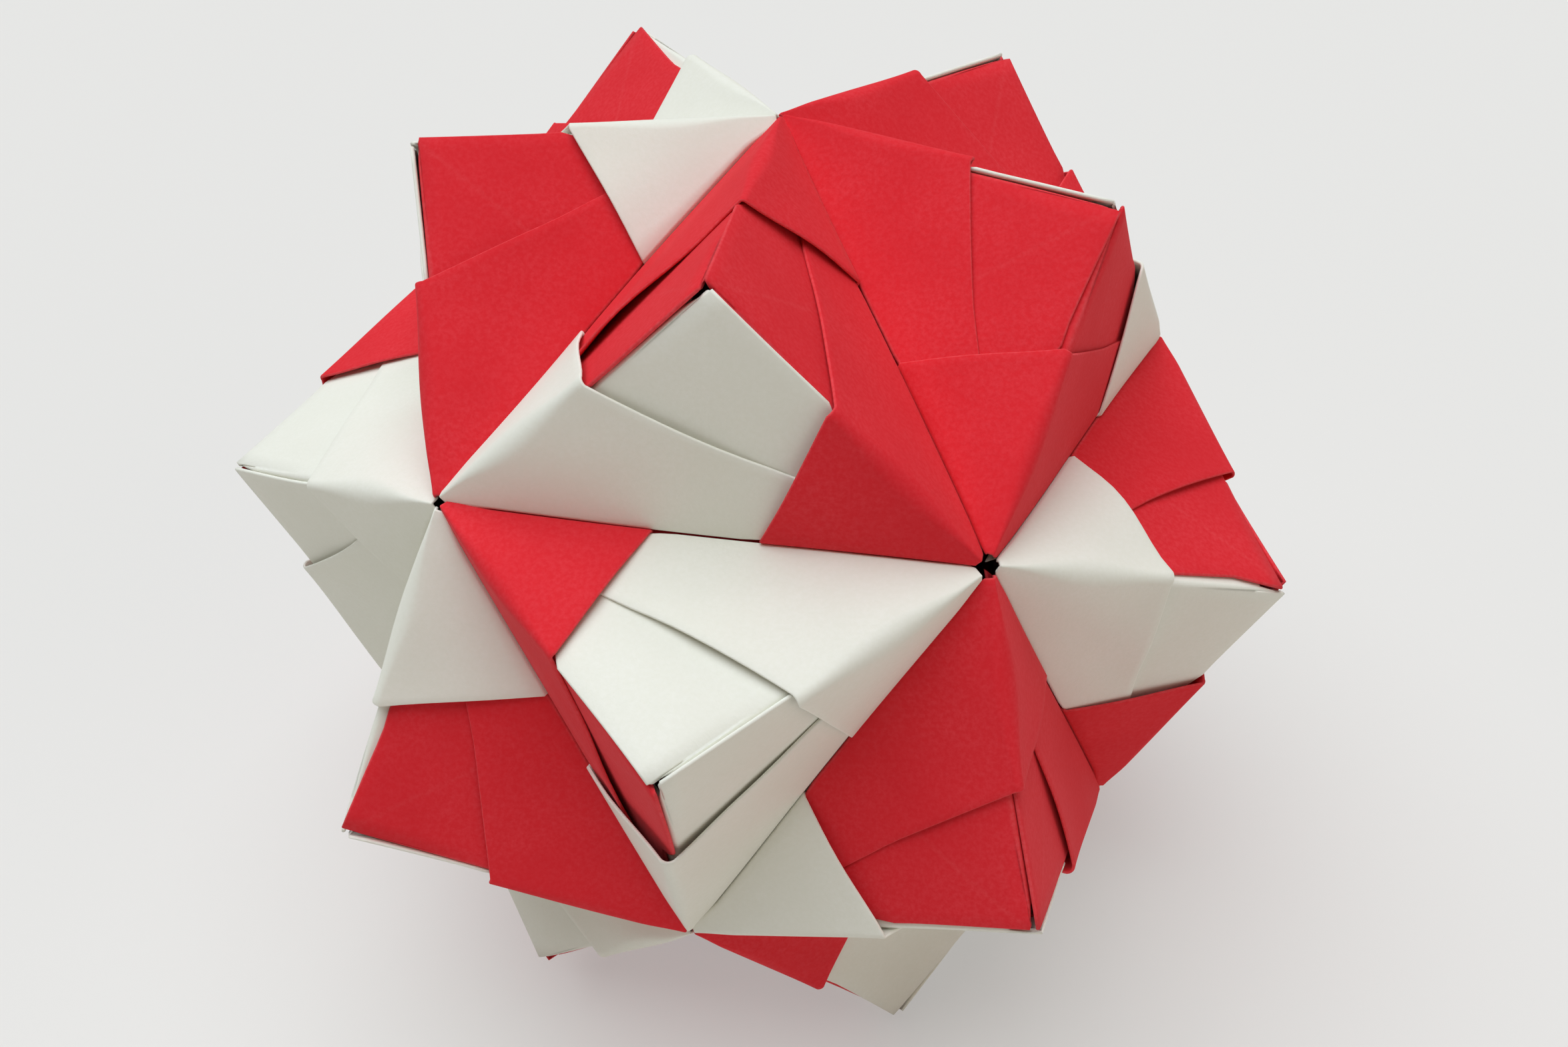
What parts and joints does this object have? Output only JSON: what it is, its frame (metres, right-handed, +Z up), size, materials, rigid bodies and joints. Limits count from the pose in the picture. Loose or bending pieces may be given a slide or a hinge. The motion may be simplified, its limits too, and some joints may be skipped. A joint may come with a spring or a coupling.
{
  "type": "kusudama paper ball",
  "caption": "Ball of interlocked folded paper units in red and white, raised into cube corners, for display or hanging.",
  "frame": {"origin": "centre of the ball's box, on the surface that the ball rests on", "axes": "+Z up as the ball rests, +Y away from the viewer of the picture"},
  "size_m": [0.1126, 0.1126, 0.0992],
  "materials": {
    "red_paper": "matte dyed paper",
    "white_paper": "matte warm white paper"
  },
  "bodies": {
    "root": {"crown_unit_1": "white_paper", "crown_unit_2": "red_paper", "crown_unit_3": "red_paper", "crown_unit_4": "red_paper", "crown_unit_5": "white_paper", "falling_unit_1": "white_paper", "falling_unit_2": "red_paper", "falling_unit_3": "white_paper", "falling_unit_4": "white_paper", "falling_unit_5": "white_paper", "foot_unit_1": "white_paper", "foot_unit_2": "white_paper", "foot_unit_3": "red_paper", "foot_unit_4": "white_paper", "foot_unit_5": "red_paper", "lower_ring_unit_1": "red_paper", "lower_ring_unit_2": "white_paper", "lower_ring_unit_3": "red_paper", "lower_ring_unit_4": "white_paper", "lower_ring_unit_5": "red_paper", "rising_unit_1": "white_paper", "rising_unit_2": "red_paper", "rising_unit_3": "red_paper", "rising_unit_4": "red_paper", "rising_unit_5": "white_paper", "upper_ring_unit_1": "red_paper", "upper_ring_unit_2": "white_paper", "upper_ring_unit_3": "white_paper", "upper_ring_unit_4": "red_paper", "upper_ring_unit_5": "red_paper"}
  },
  "joints": []
}
